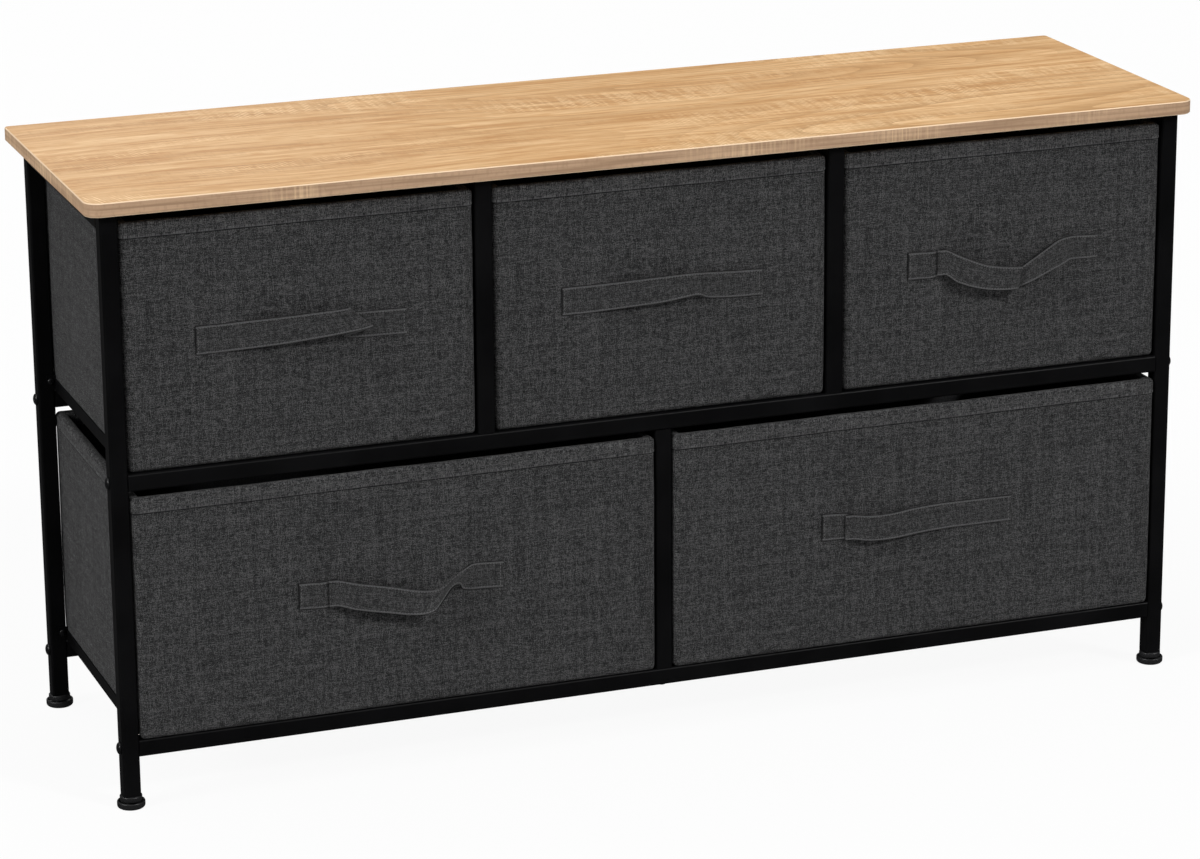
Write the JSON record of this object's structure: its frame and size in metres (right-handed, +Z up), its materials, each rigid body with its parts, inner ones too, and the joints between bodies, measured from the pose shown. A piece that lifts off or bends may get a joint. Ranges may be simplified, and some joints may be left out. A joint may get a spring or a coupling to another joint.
{
  "type": "fabric drawer dresser",
  "caption": "Low wide dresser: a light wood-grain board on a black square-tube steel frame, with soft charcoal fabric drawers that slide on angle runners and have webbing strap handles.",
  "frame": {"origin": "on the floor, under the centre of the top board", "axes": "+Z up, the drawer fronts face -Y, +X to the right as seen from the front"},
  "size_m": [1, 0.3, 0.529],
  "materials": {
    "oak_board": "matt printed wood grain",
    "black_frame": "satin black powder coat",
    "black_fasteners": "satin black",
    "plated_steel": "zinc plated",
    "black_plastic": "matt black moulding",
    "charcoal_fabric": "heathered non-woven cloth",
    "charcoal_webbing": "flat webbing",
    "lined_board": "thin non-woven lining over stiff board"
  },
  "bodies": {
    "case": {"top_board": "oak_board", "post_front_left": "black_frame", "post_front_right": "black_frame", "post_rear_left": "black_frame", "post_rear_right": "black_frame", "front_rail_bottom": "black_frame", "front_rail_middle": "black_frame", "rear_rail_bottom": "black_frame", "rear_rail_middle": "black_frame", "side_top_bar_left": "black_frame", "divider_top_bar_left": "black_frame", "side_top_bar_right": "black_frame", "divider_top_bar_right": "black_frame", "upper_divider_front_left": "black_frame", "upper_divider_front_right": "black_frame", "lower_divider_front": "black_frame", "upper_divider_rear_left": "black_frame", "upper_divider_rear_right": "black_frame", "lower_divider_rear": "black_frame", "top_left_runner_left": "black_frame", "top_left_runner_right": "black_frame", "top_middle_runner_left": "black_frame", "top_middle_runner_right": "black_frame", "top_right_runner_left": "black_frame", "top_right_runner_right": "black_frame", "bottom_left_runner_left": "black_frame", "bottom_left_runner_right": "black_frame", "bottom_right_runner_left": "black_frame", "bottom_right_runner_right": "black_frame", "post_bolts": "black_fasteners", "divider_screws": "black_fasteners", "rail_end_inserts": "plated_steel", "divider_end_inserts": "plated_steel", "foot_sockets": "black_plastic"},
    "foot_front_left": {"levelling_foot_front_left": "black_plastic"},
    "foot_front_right": {"levelling_foot_front_right": "black_plastic"},
    "foot_rear_left": {"levelling_foot_rear_left": "black_plastic"},
    "foot_rear_right": {"levelling_foot_rear_right": "black_plastic"},
    "top_left_drawer": {"top_left_drawer_cover": "charcoal_fabric", "top_left_drawer_wall_boards": "lined_board", "top_left_drawer_bottom_board": "lined_board", "top_left_strap_handle": "charcoal_webbing"},
    "top_middle_drawer": {"top_middle_drawer_cover": "charcoal_fabric", "top_middle_drawer_wall_boards": "lined_board", "top_middle_drawer_bottom_board": "lined_board", "top_middle_strap_handle": "charcoal_webbing"},
    "top_right_drawer": {"top_right_drawer_cover": "charcoal_fabric", "top_right_drawer_wall_boards": "lined_board", "top_right_drawer_bottom_board": "lined_board", "top_right_strap_handle": "charcoal_webbing"},
    "bottom_left_drawer": {"bottom_left_drawer_cover": "charcoal_fabric", "bottom_left_drawer_wall_boards": "lined_board", "bottom_left_drawer_bottom_board": "lined_board", "bottom_left_strap_handle": "charcoal_webbing"},
    "bottom_right_drawer": {"bottom_right_drawer_cover": "charcoal_fabric", "bottom_right_drawer_wall_boards": "lined_board", "bottom_right_drawer_bottom_board": "lined_board", "bottom_right_strap_handle": "charcoal_webbing"}
  },
  "joints": [
    {"name": "foot_front_left_screw", "type": "slide", "parent": "case", "child": "foot_front_left", "axis": [0, 0, -1], "range_m": [0, 0.006]},
    {"name": "foot_front_right_screw", "type": "slide", "parent": "case", "child": "foot_front_right", "axis": [0, 0, -1], "range_m": [0, 0.006]},
    {"name": "foot_rear_left_screw", "type": "slide", "parent": "case", "child": "foot_rear_left", "axis": [0, 0, -1], "range_m": [0, 0.006]},
    {"name": "foot_rear_right_screw", "type": "slide", "parent": "case", "child": "foot_rear_right", "axis": [0, 0, -1], "range_m": [0, 0.006]},
    {"name": "top_left_drawer_slide", "type": "slide", "parent": "case", "child": "top_left_drawer", "axis": [0, -1, 0], "range_m": [0, 0.2]},
    {"name": "top_middle_drawer_slide", "type": "slide", "parent": "case", "child": "top_middle_drawer", "axis": [0, -1, 0], "range_m": [0, 0.2]},
    {"name": "top_right_drawer_slide", "type": "slide", "parent": "case", "child": "top_right_drawer", "axis": [0, -1, 0], "range_m": [0, 0.2]},
    {"name": "bottom_left_drawer_slide", "type": "slide", "parent": "case", "child": "bottom_left_drawer", "axis": [0, -1, 0], "range_m": [0, 0.2]},
    {"name": "bottom_right_drawer_slide", "type": "slide", "parent": "case", "child": "bottom_right_drawer", "axis": [0, -1, 0], "range_m": [0, 0.2]}
  ]
}
